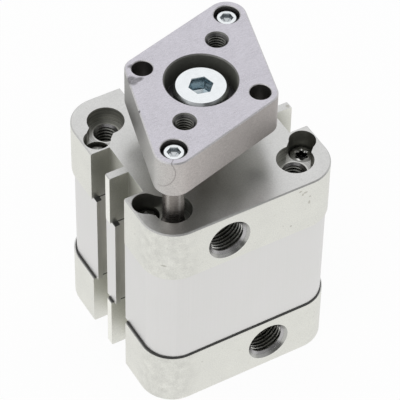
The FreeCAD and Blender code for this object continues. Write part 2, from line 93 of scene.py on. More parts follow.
# Threads: radius at the roots and at the crests, pitch, depth of the mouth's chamfer and of the lead-in
PORT_THREAD = (4.865, 4.283, 0.907, 0.63, 0.582)
MOUNT_THREAD = (3.0, 2.47, 1.0, 0.0, 0.55)
PLATE_THREAD = (2.5, 2.1, 0.8, 0.32, 0.45)
THREAD_SEGMENTS = 48
COUNTERBORE_DEPTH = 4.0
PORT_THREAD_LENGTH = 7.5
HIDDEN = 0.04  # how far a thread's back lies in the metal
ROOT_ROOM = 0.02  # between a thread's roots and the wall of its hole

# Socket screws: radii of head and shank, width across the socket's flats, and how much of the head's edge
# is broken; mouth is the socket's width at its chamfered mouth, as a share of its width inside
PLATE_SCREW = {
    "head": 6.5,
    "head_height": 5.0,
    "socket": 5.0,
    "socket_depth": 3.8,
    "mouth": 1.04,
    "turn": math.radians(45.5),
    "shank": 4.0,
    "edge": 0.62,
}
GUIDE_ROD_SCREW = {
    "head": 2.75,
    "head_height": 3.0,
    "socket": 2.5,
    "socket_depth": 1.2,
    "mouth": 1.15,
    "turn": math.radians(30),
    "shank": 1.5,
    "edge": 0.5,
}
HEX_SEGMENTS = 144

# Cap screws: radii of head and shank, and a six-lobed socket
CAP_HEAD = 3.0
CAP_HEAD_HEIGHT = 3.2
CAP_SHANK = 2.0
LOBE_POINTS = 3.2
LOBE_CORE = 2.3
LOBE_DEPTH = 1.8
LOBE_MOUTH = 0.3
LOBE_SEGMENTS = 72

# Places on the part
CORNER_HOLE = 16.25  # of the mounting holes and guide rods, from the middle along x and y
COUNTERBORE_RADIUS = 4.5
BURR_RADIUS = 3.3  # of the rough ring about a mounting hole's mouth
PORT_CHAMFER_RADIUS = 5.5
PORT_DEPTH = -20.0  # y where the ports' walls begin to count as cut
RIB_START = 19.0
RIB_HALF_WIDTH = 1.15
PLATE_TOP = 78.5
PLATE_BORE_RADIUS = 8.6
PLATE_RING = (-20.69, -17.01, 75.4)  # middle of the ring that is scored in the plate's near edge
PLATE_RING_RADIUS = 4.3
PLATE_NEAR_CORNER = (-19, -19, 0)

# Marks of use: middle, reach and, where given, how soft each one ends
SCUFFS = [
    ((12.7, -24.6, 57.5), (0.55, 0.5, 0.35)),
    ((14.1, -24.6, 56.6), (0.75, 0.5, 0.35)),
    ((13.4, -24.6, 56.2), (0.35, 0.5, 0.5)),
    ((15.3, -24.6, 52.8), (0.35, 0.5, 0.75)),
    ((15.4, -24.6, 54.7), (0.3, 0.5, 0.3)),
    ((10.6, -24.6, 47.0), (0.35, 0.5, 0.35)),
    ((-22.1, -22.2, 48.5), (0.9, 0.9, 0.3)),
    ((23.8, -0.3, 59.0), (0.6, 0.6, 0.6)),
]
ETCHED_CORNER = ((-21.0, -21.0, 30.0), (9.5, 9.5, 60.0), 0.4)
SCRAPES = [
    ((-13.9, 7.4, PLATE_TOP), (1.5, 1.9, 1.0), 0.4),
    ((-12.9, 7.0, PLATE_TOP), (2.1, 0.9, 0.6), 0.4),
    ((-11.8, 11.7, PLATE_TOP), (1.1, 0.8, 0.6), 0.6),
]
NICK = ((-17.4, -2.1, 78.4), (0.5, 0.5, 0.5), 0.4)
# Painted glints on the right-hand cap screw's head, as spots of rubbed bright metal
RUBBED_GLINT_SPOTS = [
    ((19.9, -12.6, 54.2), (0.9, 0.9, 0.4)),
    ((21.6, -13.1, 54.2), (0.6, 0.6, 0.4)),
]

# Painted shade in the pockets of the near and the far corner, and on their cap screws
SHADED_POCKET = ((CORNER_HOLE, CORNER_HOLE, 53.5), (10.0, 10.0, 8.0), 0.2)
SHADED_SCREW = ((20.95, 11.75, 53.0), (5.0, 5.0, 5.0), 0.2)

# Painted reflection streaks along the near guide rod, which read as polished lines, from its axis; the
# far rod has their mirror images
REFLECTION_STREAKS = [(-2.16, -1.26), (0.24, -2.49)]
STREAK_REACH = (0.55, 0.55, 500.0)


class Skin:
    """Corners and faces of one piece, in millimetres; corners in the same place are one."""

    def __init__(self):
        self.places = {}
        self.faces = []

    def face(self, places):
        corners = []
        for place in places:
            key = tuple(round(value, 5) for value in place)
            corner = self.places.setdefault(key, len(self.places))
            if corner not in corners:
                corners.append(corner)
        if len(corners) > 2:
            self.faces.append(corners)


def band(skin, put, segments, near, far):
    """Faces between two rings, each a (radius, height) whose radius may depend on the angle."""

    def place(ring, step):
        radius, height = ring
        angle = FULL_TURN * (step % segments) / segments
        reach = radius(angle) if callable(radius) else radius
        return put(reach * math.cos(angle), reach * math.sin(angle), height)

    for step in range(segments):
        skin.face([place(near, step), place(near, step + 1), place(far, step + 1), place(far, step)])


def turned(skin, put, segments, rings):
    """Faces through a row of rings."""
    for near, far in zip(rings, rings[1:]):
        band(skin, put, segments, near, far)


def tapped(skin, put, segments, thread, length, through):
    """Lining of a tapped hole, as deep as length; through gives its far end a chamfer too."""
    major, minor, pitch, mouth, lead = thread
    start = mouth + lead
    end = length - (major - minor) if through else length
    root = major - ROOT_ROOM
    back = major + HIDDEN
    # One turn's corners: share of the pitch, radius
    profile = [(0.0, root), (0.125, root), (0.4375, minor), (0.6875, minor)]
    laps = math.ceil((end - start) / pitch) + 2

    def place(step, index):
        lap, part = divmod(index, len(profile))
        share, radius = profile[part]
        depth = start + pitch * (step / segments + lap + share - 1)
        depth = min(max(depth, start), end)
        radius = min(radius, minor + 2 * min(depth - start, end - depth))
        angle = FULL_TURN * (step % segments) / segments
        return put(radius * math.cos(angle), radius * math.sin(angle), depth)

    for step in range(segments):
        for index in range(laps * len(profile)):
            skin.face(
                [
                    place(step, index),
                    place(step + 1, index),
                    place(step + 1, index + 1),
                    place(step, index + 1),
                ]
            )
    turned(skin, put, segments, [(minor, start), (back, mouth), (back, length), (minor, end)])


def mount_place(name):
    """Place of a mount, in millimetres."""
    return tuple(value / MM for value in mounts[name]["pos_m"])


def upright(x, y, z, way=1):
    """Places about an upright axis, with heights measured up from z, or down where way is -1."""
    return lambda across, along, height: (x + across, y + along, z + way * height)


def inward(name, face):
    """Places about a mount's axis, with heights measured inwards from its face."""
    x, y, z = mount_place(name)
    axis = Vector(mounts[name]["axis"])
    if axis.z > 0:
        return lambda across, along, depth: (x - across, y + along, face - depth)
    if axis.z < 0:
        return lambda across, along, depth: (x + across, y + along, face + depth)
    return lambda across, along, depth: (x - across, face + depth, z + along)


def hexagon(across_flats, turn):
    """Radius of a hexagon at an angle, with a corner at the turn."""
    sixth = FULL_TURN / 6
    return lambda angle: across_flats / 2 / math.cos((angle - turn) % sixth - sixth / 2)


def six_lobes(points, core, wider=0.0):
    """Radius of a six-lobed socket at an angle, made wider all round."""
    middle = (points + core) / 4
    swing = (points - core) / 4
    return lambda angle: middle + swing * math.cos(6 * angle) + wider


def show(name, skin, finish, body, replaced):
    """Makes a piece of a skin, riding on a body."""
    mesh = bpy.data.meshes.new(name)
    mesh.from_pydata([Vector(place) * MM for place in skin.places], [], skin.faces)
    shape = bmesh.new()
    shape.from_mesh(mesh)
    bmesh.ops.recalc_face_normals(shape, faces=shape.faces)
    shape.to_mesh(mesh)
    shape.free()
    mesh.shade_smooth()
    mesh.set_sharp_from_angle(angle=SHARP)
    mesh.materials.append(finish)
    made = bpy.data.objects.new(name, mesh)
    bpy.context.scene.collection.objects.link(made)
    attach(made, body)
    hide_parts(*replaced)


class Web:
    """Nodes of a material or of the world."""

    def __init__(self, tree):
        self.tree = tree

    def node(self, kind, inputs=None, **settings):
        made = self.tree.nodes.new("ShaderNode" + kind)
        for key, value in settings.items():
            setattr(made, key, value)
        for key, value in (inputs or {}).items():
            if isinstance(value, bpy.types.NodeSocket):
                self.tree.links.new(value, made.inputs[key])
            else:
                made.inputs[key].default_value = value
        return made

    def math(self, operation, *values):
        return self.node("Math", dict(enumerate(values)), operation=operation).outputs[0]

    def vector(self, operation, first, second):
        """Result of a vector sum, as a vector, or as a number for DOT_PRODUCT."""
        made = self.node("VectorMath", {0: first, 1: second}, operation=operation)
        return made.outputs["Value" if operation == "DOT_PRODUCT" else "Vector"]

    def scaled(self, vector, factor):
        return self.node("VectorMath", {0: vector, "Scale": factor}, operation="SCALE").outputs[0]

    def length(self, vector):
        return self.node("VectorMath", {0: vector}, operation="LENGTH").outputs["Value"]

    def apart(self, value, other):
        """How far a value is from another, either way."""
        return self.math("ABSOLUTE", self.math("SUBTRACT", value, other))

    def product(self, *values):
        result = values[0]
        for value in values[1:]:
            result = self.math("MULTIPLY", result, value)
        return result

    def most(self, *values):
        result = values[0]
        for value in values[1:]:
            result = self.math("MAXIMUM", result, value)
        return result

    def between(self, value, low, high, start=0.0, stop=1.0):
        """Value taken from the range low to high to the range start to stop, and held there."""
        ends = {"From Min": low, "From Max": high, "To Min": start, "To Max": stop}
        return self.node("MapRange", {"Value": value, **ends}).outputs[0]


class Finish(Web):
    """A material of nodes, textured by the place on the part in millimetres."""

    OPEN_REACH = 20.0  # how far away a wall still makes a hollow

    def __init__(self, name, **constants):
        self.material = bpy.data.materials.new(name)
        self.material.use_nodes = True
        super().__init__(self.material.node_tree)
        self.shader = self.tree.nodes["Principled BSDF"]
        for key, value in constants.items():
            self.shader.inputs[key.replace("_", " ")].default_value = value
        self.place = self.scaled(self.node("TexCoord").outputs["Object"], 1 / MM)
        self.normal = self.node("NewGeometry").outputs["Normal"]

    def noise(self, size, stretch=(1, 1, 1), detail=2.0, place=None):
        """Noise with features of about a size, drawn out where stretch is below 1."""
        place = self.vector("MULTIPLY", place or self.place, stretch)
        return self.node("TexNoise", {"Vector": place, "Scale": 1 / size, "Detail": detail}).outputs[0]

    def swing(self, noise, start, stop):
        """A noise taken to a range; it seldom leaves the middle 0.3 to 0.7."""
        return self.between(noise, 0.3, 0.7, start, stop)

    def wave(self, noise, depth):
        """A tone that swings about one with a noise."""
        return self.swing(noise, 1 - depth, 1 + depth)

    def where(self, mask, tone):
        """A tone that is one, but as given where a mask is one."""
        return self.between(mask, 0.0, 1.0, 1.0, tone)

    def changed(self, mask, change):
        """A tone that is one, with a change added where a mask is one."""
        return self.math("MULTIPLY_ADD", mask, change, 1.0)

    def without(self, mask):
        """One where a mask is nought."""
        return self.between(mask, 1.0, 0.0)

    def part(self, vector, axis):
        return self.node("SeparateXYZ", {0: vector}).outputs[axis]

    def facing(self, axis):
        """How far a face looks along an axis, either way, from nought to one."""
        return self.math("ABSOLUTE", self.part(self.normal, axis))

    def distance(self, centre, axes, place=None):
        """Distance from a centre, with the share that each axis has in it."""
        offset = self.vector("SUBTRACT", place or self.place, centre)
        return self.length(self.vector("MULTIPLY", offset, axes))

    def within(self, distance, radius):
        """One up to a radius, fading to nought in a tenth of a millimetre."""
        return self.between(distance, radius + 0.1, radius)

    def near(self, centre, reach, soft=0.5):
        """One within an ellipsoid, fading to nought at its skin."""
        offset = self.vector("SUBTRACT", self.place, centre)
        return self.between(self.length(self.vector("DIVIDE", offset, reach)), 1.0, 1.0 - soft)

    def near_any(self, marks):
        """One within any of several ellipsoids."""
        return self.most(*(self.near(*mark) for mark in marks))

    def near_both(self, centre, reach, soft):
        """One within an ellipsoid in the near corner and its mirror image in the far one."""
        x, y, z = centre
        return self.near_any([((way * x, way * y, z), reach, soft) for way in (-1, 1)])

    def open(self, low=0.0, high=0.9, start=0.0):
        """One where the piece is open, falling to start in its hollows."""
        reach = {"Distance": self.OPEN_REACH * MM}
        seen = self.node("AmbientOcclusion", reach, samples=12, only_local=True).outputs["AO"]
        return self.between(seen, low, high, start, 1.0)

    def rounded(self, radius):
        """Normal as if edges were rounded."""
        return self.node("Bevel", {"Radius": radius * MM}, samples=4).outputs[0]

    def rim(self):
        """One on level edges that are broken at half a right angle."""
        return self.between(self.apart(self.facing("Z"), DIAGONAL), 0.1, 0.05)

    def edge(self, rounded):
        """One along edges."""
        return self.between(self.vector("DOT_PRODUCT", rounded, self.normal), 0.995, 0.9)

    def mix(self, factor, low, high):
        """Colour between two colours."""
        ends = {}
        for key, value in ((6, low), (7, high)):
            ends[key] = (*value, 1) if isinstance(value, tuple) else value
        return self.node("Mix", {0: factor, **ends}, data_type="RGBA").outputs[2]

    def toned(self, colour, *tones):
        """Colour made lighter or darker."""
        return self.scaled(colour, self.product(*tones))

    def end(self, colour, roughness, height, depth, normal=None):
        """Gives the shader its colour, roughness and bumps of a depth in millimetres."""
        inputs = {"Height": height, "Distance": depth * MM, "Strength": 1.0}
        if normal:
            inputs["Normal"] = normal
        bump = self.node("Bump", inputs).outputs[0]
        for key, value in (("Base Color", colour), ("Roughness", roughness), ("Normal", bump)):
            self.tree.links.new(value, self.shader.inputs[key])
        return self.material


def cap_finish(name, port, levels, hollow_shades):
    """Etched and anodised aluminium with milled faces; painted shade darkens its hollows, with one tone
    at each of two given heights.
    """
    etched_side = (0.76, 0.76, 0.712)
    milled_face = (0.636, 0.636, 0.628)
    cut_chamfer = (0.45, 0.45, 0.43)
    broken_edge = (0.54, 0.54, 0.53)
    worn_and_highlit_edge = (0.86, 0.86, 0.84)
    speck = (0.42, 0.41, 0.36)
    scuff = (0.30, 0.28, 0.22)
    bare_burr = (0.75, 0.75, 0.72)
    shade_tints = [(hollow_shade, hollow_shade, hollow_shade * (0.86 + 0.14 * hollow_shade)) for hollow_shade in hollow_shades]

    finish = Finish(name, Metallic=1.0)
    rounded = finish.rounded(0.06)
    rim = finish.rim()
    clear = finish.open()
    flat = finish.between(finish.facing("Z"), 0.75, 0.95)
    height = finish.part(finish.place, "Z")
    corner = finish.node("VectorMath", {0: finish.place}, operation="ABSOLUTE").outputs[0]
    from_hole = finish.distance((CORNER_HOLE, CORNER_HOLE, 0), (1, 1, 0), corner)
    bored = finish.within(from_hole, COUNTERBORE_RADIUS)
    burr = finish.product(flat, finish.within(from_hole, BURR_RADIUS))
    # Painted shade in the pockets of the near and the far corner.
    pocket_shade = finish.product(finish.near_both(*SHADED_POCKET), finish.between(clear, 0.75, 0.5))
    # Painted light: the ribs' outer faces, and all faces of the right-hand ribs, are made lighter.
    lit_ribs = finish.product(
        finish.most(
            finish.between(finish.facing("X"), 0.8, 0.9),
            finish.between(finish.part(finish.place, "X"), RIB_START, RIB_START + 1.0),
        ),
        finish.between(finish.part(corner, "X"), RIB_START, RIB_START + 1.0),
        finish.between(finish.part(corner, "Y"), RIB_HALF_WIDTH + 0.15, RIB_HALF_WIDTH),
        finish.without(flat),
    )
    cut = finish.product(
        finish.between(finish.part(finish.place, "Y"), PORT_DEPTH, PORT_DEPTH - 0.5),
        finish.within(finish.distance(port, (1, 0, 1)), PORT_CHAMFER_RADIUS),
        finish.between(finish.facing("Y"), 0.9, 0.8),
    )
    cloud = finish.noise(6.0, detail=4.0)
    grain = finish.noise(0.3)
    specks = finish.between(finish.noise(0.9, detail=3.0), 0.66, 0.74)
    blotch = finish.noise(2.0, detail=6.0)
    rings = finish.node("CombineXYZ", {0: from_hole, 1: height}).outputs[0]
    rings = finish.noise(2 / 7, detail=3.0, place=rings)
    # Edges made lighter, partly as wear and partly as a painted highlight; less on flat faces and broken
    # edges.
    wear_and_highlight = finish.between(finish.most(flat, rim), 0.0, 1.0, 0.4, 0.08)
    worn_and_highlit = finish.product(finish.edge(rounded), wear_and_highlight)
    tint = finish.mix(finish.between(height, *levels), *shade_tints)
    shown = finish.most(clear, finish.product(flat, 0.6))

    colour = finish.mix(flat, etched_side, milled_face)
    colour = finish.mix(cut, colour, cut_chamfer)
    colour = finish.mix(rim, colour, broken_edge)
    colour = finish.mix(finish.product(specks, 0.25), colour, speck)
    colour = finish.mix(worn_and_highlit, colour, worn_and_highlit_edge)
    colour = finish.mix(finish.product(finish.near_any(SCUFFS), 0.5), colour, scuff)
    # Painted shade in the hollows, its tone going from one height's to the other's; flat faces keep more
    # light.
    colour = finish.vector("MULTIPLY", colour, finish.mix(shown, tint, (1, 1, 1)))
    colour = finish.toned(
        colour,
        finish.where(pocket_shade, 0.8),
        finish.where(finish.product(pocket_shade, bored), 0.65),
        finish.where(lit_ribs, 1.18),
        finish.changed(bored, finish.swing(rings, -0.4, 0.4)),
        finish.changed(finish.near(*ETCHED_CORNER), finish.swing(blotch, -0.13, 0.03)),
        finish.wave(cloud, 0.04),
        finish.wave(grain, 0.07),
    )
    colour = finish.mix(finish.product(burr, finish.without(pocket_shade), 0.6), colour, bare_burr)
    rough = finish.between(finish.most(flat, finish.product(cut, 1.6)), 0.0, 1.6, 0.45, 0.25)
    rough = finish.math("ADD", rough, finish.swing(cloud, -0.04, 0.04))
    return finish.end(colour, rough, grain, 0.006, rounded)


def barrel_finish():
    """Drawn and anodised aluminium with faint upright lines; painted shade darkens its slots, most at
    their lower end, and its edges are lighter, partly as wear and partly as a painted highlight.
    """
    cool_side = (0.715, 0.715, 0.695)
    warm_side = (0.735, 0.725, 0.72)
    worn_and_highlit_edge = (0.86, 0.86, 0.85)
    slot_shade = (0.99, 0.985, 0.935)
    low_slot_shade = (0.45, 0.45, 0.42)

    finish = Finish("barrel_finish", Metallic=1.0)
    rounded = finish.rounded(0.12)
    lines = finish.noise(0.2, stretch=(1, 1, 0.01))
    cloud = finish.noise(8.0, detail=4.0)
    grain = finish.noise(0.25)
    low_end = finish.between(finish.part(finish.place, "Z"), 23.0, 16.0)
    colour = finish.mix(cloud, cool_side, warm_side)
    # Edges made lighter, partly as wear and partly as a painted highlight.
    colour = finish.mix(finish.product(finish.edge(rounded), 0.4), colour, worn_and_highlit_edge)
    # Painted shade in the slots, darker towards their lower end.
    hollow_shade = finish.mix(low_end, slot_shade, low_slot_shade)
    colour = finish.vector("MULTIPLY", colour, finish.mix(finish.open(), hollow_shade, (1, 1, 1)))
    colour = finish.toned(colour, finish.wave(lines, 0.015))
    rough = finish.swing(lines, 0.36, 0.42)
    return finish.end(colour, rough, finish.math("ADD", lines, grain), 0.003, rounded)


def plate_finish():
    """Milled and anodised aluminium: a satin face and the marks of use; its sides carry painted shade,
    darker and warmer than the face, and its broken edges, hollows and corners carry painted light and
    shade.
    """
    right_side_shade = (0.445, 0.415, 0.40)
    left_side_shade = (0.435, 0.43, 0.415)
    top_face = (0.575, 0.559, 0.61)
    under_face = (0.74, 0.735, 0.69)
    outer_rim_highlight = (0.60, 0.59, 0.60)
    mouth_rim_shade = (0.20, 0.20, 0.19)
    bore_wall = (0.41, 0.415, 0.37)
    ring_line = (0.12, 0.10, 0.10)
    scraped = (0.17, 0.165, 0.175)
    mouths = [(mount_place(f"plate_thread_{end}"), (3.2, 3.2, 90.0), 0.1) for end in ("near", "far")]
    mouths.append(((0, 0, PLATE_TOP), (9.4, 9.4, 3.0), 0.05))

    finish = Finish("plate_finish", Metallic=1.0)
    up = finish.between(finish.part(finish.normal, "Z"), 0.75, 0.95)
    under = finish.between(finish.part(finish.normal, "Z"), -0.75, -0.95)
    left = finish.vector("DOT_PRODUCT", finish.normal, (-DIAGONAL, DIAGONAL, 0))
    near = finish.vector("DOT_PRODUCT", finish.normal, (-DIAGONAL, -DIAGONAL, 0))
    along = finish.vector("DOT_PRODUCT", finish.place, (-DIAGONAL, DIAGONAL, 0))
    left_side = finish.product(finish.between(left, 0.5, 0.8), finish.between(near, 0.1, 0.45))
    upright_face = finish.between(finish.facing("Z"), 0.3, 0.2)
    from_corner = finish.distance(PLATE_NEAR_CORNER, (1, 1, 0))
    bored = finish.within(finish.distance((0, 0, 0), (1, 1, 0)), PLATE_BORE_RADIUS)
    bored = finish.product(bored, upright_face)
    ring = finish.apart(finish.distance(PLATE_RING, (1, 1, 0.87)), PLATE_RING_RADIUS)
    ring = finish.product(
        finish.between(ring, 0.16, 0.04),
        finish.between(finish.part(finish.place, "Y"), -16.8, -17.6),
    )
    grain = finish.noise(0.25, detail=3.0)
    drag = finish.noise(0.3, stretch=(0.3, 1, 1), detail=3.0)
    cloud = finish.noise(4.0, detail=5.0)
    torn = finish.noise(0.45, stretch=(0.35, 1, 1), detail=3.0)
    scrape = finish.product(finish.near_any(SCRAPES), finish.swing(torn, 0.65, 1.0))
    scrape = finish.most(scrape, finish.near(*NICK))

    # Painted shade: the sides darker and warmer than the top, a little different by which way they face.
    colour = finish.mix(finish.between(left, -0.87, 0.87), right_side_shade, left_side_shade)
    colour = finish.mix(up, colour, top_face)
    colour = finish.mix(under, colour, under_face)
    # Broken edges: painted shade at the mouths of the bore and the tapped holes, a painted highlight on
    # the outer edges.
    colour = finish.mix(finish.rim(), colour, finish.mix(finish.near_any(mouths), outer_rim_highlight, mouth_rim_shade))
    colour = finish.mix(bored, colour, bore_wall)
    colour = finish.mix(finish.product(ring, 0.45), colour, ring_line)
    colour = finish.mix(finish.product(scrape, 0.95), colour, scraped)
    # Painted light and shade: darker in the hollows, lighter on faces that look to the near corner and on
    # the rounded left corner, upright faces lighter near the near corner and darker away from it, and the
    # near-left side darker towards the left corner.
    colour = finish.toned(
        colour,
        finish.open(0.4, 0.9, 0.45),
        finish.between(near, 0.4, 0.9, 1.0, 1.11),
        finish.between(left, 0.87, 0.97, 1.0, 1.75),
        finish.changed(upright_face, finish.between(from_corner, 4.0, 15.0, 0.12, -0.07)),
        finish.changed(left_side, finish.between(along, 7.0, 15.0, 0.0, -0.31)),
        finish.wave(grain, 0.14),
        finish.wave(drag, 0.07),
        finish.wave(cloud, 0.04),
    )
    rough = finish.math("ADD", finish.between(up, 0.0, 1.0, 0.46, 0.30), finish.product(bored, 0.35))
    rough = finish.math("ADD", rough, finish.swing(cloud, -0.04, 0.04))
    return finish.end(colour, rough, finish.math("ADD", grain, drag), 0.006, finish.rounded(0.08))


def thread_finish(name, axis, lead, crests, low, high):
    """Cut aluminium: toned as given where a lead-in is cut and on the crests, with painted shade
    darkening the roots.
    """
    root = (0.05, 0.05, 0.042)
    finish = Finish(name, Metallic=1.0)
    cuts = finish.noise(0.15, detail=3.0)
    leads = finish.between(finish.apart(finish.facing(axis), 0.7), 0.12, 0.08)
    # Painted shade: dark in the roots and hollows, the given tone on the open crests.
    colour = finish.mix(finish.open(low, high), root, (crests, crests, 0.95 * crests))
    colour = finish.mix(leads, colour, (lead, 0.985 * lead, 0.99 * lead))
    colour = finish.toned(colour, finish.wave(cuts, 0.07))
    return finish.end(colour, finish.swing(cuts, 0.22, 0.34), cuts, 0.003)


def ground_finish(name, colour, roughness, smear, reflection_streaks=()):
    """Steel with fine marks of grinding round the rod, which draw its mirror images out along it; painted
    shade in its hollows, and painted reflection streaks along it where given.
    """
    hollow_shade = (0.05, 0.05, 0.05)
    streak_colour = (0.80, 0.78, 0.75)
    finish = Finish(name, Metallic=1.0, Anisotropic=smear, Anisotropic_Rotation=0.25)
    round_rod = finish.node("Tangent", direction_type="RADIAL", axis="Z").outputs[0]
    finish.tree.links.new(round_rod, finish.shader.inputs["Tangent"])
    ground = finish.noise(0.12, stretch=(0.05, 0.05, 1))
    cloud = finish.noise(4.0, detail=3.0)
    # Painted shade in the hollows.
    shade = finish.mix(finish.open(0.1, 0.9), hollow_shade, colour)
    shade = finish.toned(shade, finish.wave(cloud, 0.03), finish.wave(ground, 0.03))
    # Painted reflections: light streaks along the rod.
    for x, y in reflection_streaks:
        streak = finish.near((x, y, 0.0), STREAK_REACH, 1.0)
        shade = finish.mix(finish.product(streak, 0.36), shade, streak_colour)
    rough = finish.swing(ground, roughness - 0.05, roughness + 0.05)
    return finish.end(shade, rough, ground, 0.0006, finish.rounded(0.1))


def zinc_finish():
    """Bright zinc plate, with painted shade in the sockets, bluish in the plate's middle screw, painted
    light on the sockets' upward floors, and painted shade on the heads' broken edges.
    """
    plated = (0.84, 0.87, 0.89)
    small_socket_shade = (0.19, 0.21, 0.22)
    middle_socket_shade = (0.40, 0.49, 0.53)
    head_edge_shade = (0.20, 0.21, 0.22)
    finish = Finish("zinc_finish", Metallic=1.0)
    blush = finish.noise(1.5, detail=4.0)
    grain = finish.noise(0.12, detail=3.0)
    middle = finish.near((0.0, 0.0, 75.0), (9.0, 9.0, 12.0), 0.1)
    # Painted light: faces that look up stay lighter inside the sockets.
    floor = finish.between(finish.part(finish.normal, "Z"), 0.5, 0.9, 0.0, 0.6)
    # Painted shade on the heads' broken edges, a little less on the middle screw.
    edge = finish.product(finish.rim(), finish.between(middle, 0.0, 1.0, 0.9, 0.7))
    # Painted shade in the sockets, bluish in the plate's middle screw.
    socket = finish.mix(middle, small_socket_shade, middle_socket_shade)
    colour = finish.mix(finish.most(finish.open(0.1, 0.85), floor), socket, plated)
    colour = finish.mix(edge, colour, head_edge_shade)
    colour = finish.toned(colour, finish.wave(blush, 0.03), finish.wave(grain, 0.03))
    return finish.end(colour, finish.swing(blush, 0.16, 0.26), grain, 0.003, finish.rounded(0.05))


def dark_steel_finish():
    """Blackened steel with painted shade in its sockets, edges lighter partly as wear and partly as
    painted highlight, two painted glints that read as rubbed spots, and painted shade on the screws of
    two corners.
    """
    hollow_shade = (0.012, 0.012, 0.012)
    blackened = (0.22, 0.22, 0.21)
    worn_and_highlit_edge = (0.75, 0.75, 0.73)
    rubbed_glint = (0.95, 0.95, 0.93)
    finish = Finish("dark_steel_finish", Metallic=1.0)
    rounded = finish.rounded(0.08)
    oil = finish.noise(0.8, detail=4.0)
    grain = finish.noise(0.1, detail=3.0)
    worn_and_highlit = finish.most(finish.edge(rounded), finish.rim())
    # Painted shade in the sockets.
    colour = finish.mix(finish.open(0.2, 0.9), hollow_shade, blackened)
    # Edges made lighter, partly as wear and partly as a painted highlight.
    colour = finish.mix(finish.product(worn_and_highlit, 0.85), colour, worn_and_highlit_edge)
    # Painted glints, as spots of rubbed bright metal.
    colour = finish.mix(finish.product(finish.near_any(RUBBED_GLINT_SPOTS), 0.95), colour, rubbed_glint)
    # Painted shade on the cap screws of the near and the far corner.
    screw_shade = finish.near_both(*SHADED_SCREW)
    colour = finish.toned(colour, finish.wave(oil, 0.15), finish.where(screw_shade, 0.35))
    return finish.end(colour, finish.swing(oil, 0.2, 0.36), grain, 0.003, rounded)


def moulded_finish(name, colour, roughness):
    """Rubber or plastic: cloudy colour, fine skin and a little dust."""
    dusty = (0.35, 0.34, 0.32)
    finish = Finish(name, Metallic=0.0)
    cloud = finish.noise(3.0, detail=4.0)
    skin = finish.noise(0.12, detail=3.0)
    dust = finish.between(finish.noise(0.7, detail=3.0), 0.6, 0.75)
    shade = finish.mix(finish.product(dust, 0.12), colour, dusty)
    shade = finish.toned(shade, finish.wave(cloud, 0.12))
    rough = finish.swing(cloud, roughness - 0.08, roughness + 0.08)
    return finish.end(shade, rough, skin, 0.006, finish.rounded(0.1))


def turned_finish(name, colour, roughness):
    """Metal with the fine rings that a lathe leaves."""
    dark_pore = tuple(value * 0.3 for value in colour)
    finish = Finish(name, Metallic=1.0)
    rings = finish.noise(0.15, stretch=(0.03, 0.03, 1))
    pores = finish.noise(0.25, detail=4.0)
    cloud = finish.noise(3.0, detail=4.0)
    shade = finish.mix(finish.between(pores, 0.6, 0.75, 0.0, 0.5), colour, dark_pore)
    shade = finish.toned(shade, finish.wave(cloud, 0.07), finish.wave(rings, 0.05))
    rough = finish.swing(rings, roughness - 0.06, roughness + 0.06)
    return finish.end(shade, rough, rings, 0.004, finish.rounded(0.1))


def give(finish, *names):
    """Puts a finish on solids of the frame."""
    for name in names:
        mesh = nodes[name].data
        mesh.materials.clear()
        mesh.materials.append(finish)


def add_threads(port_finish, hole_finish, tap_finish):
    """Linings of all tapped holes."""
    port_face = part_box("front_cap")[0].y / MM
    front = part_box("front_cap")[1].z / MM - COUNTERBORE_DEPTH
    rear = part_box("rear_cap")[0].z / MM + COUNTERBORE_DEPTH
    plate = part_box("yoke_plate")[1].z / MM
    front_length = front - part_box("front_cap")[0].z / MM
    rear_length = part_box("rear_cap")[1].z / MM - rear
    plate_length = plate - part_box("yoke_plate")[0].z / MM
    finishes = {PORT_THREAD: port_finish, MOUNT_THREAD: hole_finish, PLATE_THREAD: tap_finish}
    rows = []
    for side in ("upper", "lower"):
        rows.append((f"{side}_port", port_face, PORT_THREAD, PORT_THREAD_LENGTH, False))
    for side in ("left", "right"):
        rows.append((f"front_thread_{side}", front, MOUNT_THREAD, front_length, False))
        for end in ("near", "far"):
            rows.append((f"rear_thread_{side}_{end}", rear, MOUNT_THREAD, rear_length, False))
    for end in ("near", "far"):
        rows.append((f"plate_thread_{end}", plate, PLATE_THREAD, plate_length, True))
    for mount, face, thread, length, through in rows:
        skin = Skin()
        tapped(skin, inward(mount, face), THREAD_SEGMENTS, thread, length, through)
        body, slot = ("slide", "plate_aluminium") if through else ("housing", "cap_aluminium")
        show(mount.replace("_thread", "") + "_thread", skin, finishes[thread], body, [])


def hex_screw(skin, put, length, head, head_height, socket, socket_depth, mouth, turn, shank, edge):
    """Socket screw, hanging down from the top of its head."""
    rings = [
        (0.0, -socket_depth - 0.2 * socket),
        (hexagon(socket, turn), -socket_depth),
        (hexagon(socket, turn), (1 - mouth) * socket),
        (hexagon(mouth * socket, turn), 0.0),
        (head - edge, 0.0),
        (head, -edge),
        (head, -head_height + 0.4 * edge),
        (head - 0.4 * edge, -head_height),
        (shank + 0.5 * edge, -head_height),
        (shank, -head_height - 0.5 * edge),
        (shank, -length + 0.2 * shank),
        (0.8 * shank, -length),
        (0.0, -length),
    ]
    turned(skin, put, HEX_SEGMENTS, rings)


